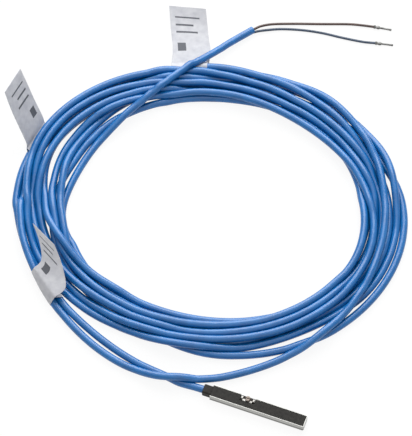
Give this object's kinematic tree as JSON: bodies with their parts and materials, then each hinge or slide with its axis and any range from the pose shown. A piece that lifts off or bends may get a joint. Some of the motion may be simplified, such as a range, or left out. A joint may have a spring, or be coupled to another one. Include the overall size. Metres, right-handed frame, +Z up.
{
  "type": "cylinder proximity switch",
  "caption": "Slim proximity switch that drops into a cylinder's T-slot and is held by a clamp nut and slotted screw; its thin lead is laid in a loose hand coil and ends in bare crimped cores.",
  "frame": {"origin": "middle of the switch body's underside", "axes": "+X along the switch body towards its blunt end, away from the lead; +Z up, out of the slot; -Y is the body's plain side wall, opposite the clamp's window"},
  "size_m": [0.162, 0.1761, 0.024],
  "materials": {
    "stainless_steel": "drawn sheet, bright",
    "dark_moulding": "fine spark texture",
    "nickel_plate": "bright nickel plate",
    "screw_steel": "turned, plain",
    "board_laminate": "green solder resist",
    "chip_plastic": "moulded, matt",
    "ceramic": "fired, matt",
    "tin": "tinned",
    "casting_resin": "cast, glossy",
    "blue_jacket": "extruded, satin",
    "brown_insulation": "extruded, satin",
    "blue_insulation": "extruded, satin",
    "label_film": "printed film, satin"
  },
  "bodies": {
    "switch": {"housing_channel": "stainless_steel", "top_cover": "dark_moulding", "circuit_board": "board_laminate", "sensor_chip": "chip_plastic", "amplifier_chip": "chip_plastic", "capacitor_1": "ceramic", "capacitor_2": "ceramic", "resistor_1": "ceramic", "resistor_2": "ceramic", "diode": "chip_plastic", "brown_core_inside": "brown_insulation", "blue_core_inside": "blue_insulation", "brown_solder": "tin", "blue_solder": "tin", "potting_resin": "casting_resin", "cable_lead": "blue_jacket", "cable_loop": "blue_jacket", "cable_coil": "blue_jacket", "cable_tail": "blue_jacket", "brown_core": "brown_insulation", "blue_core": "blue_insulation", "brown_ferrule": "tin", "blue_ferrule": "tin", "label_top": "label_film", "label_left": "label_film", "label_lower": "label_film"},
    "nut": {"clamp_nut": "nickel_plate"},
    "screw": {"clamp_screw": "screw_steel"}
  },
  "joints": [
    {"name": "screw_turn", "type": "hinge", "parent": "switch", "child": "screw", "pos_m": [-0.003, 0.00125, 0.0042], "axis": [0, 0, -1], "range_deg": [0, 360]},
    {"name": "nut_rise", "type": "slide", "parent": "switch", "child": "nut", "axis": [0, 0, 1], "range_m": [0, 0.0004]}
  ],
  "couplings": [
    {"joint": "screw_turn", "follows": "nut_rise", "rad_per_m": 15708}
  ]
}
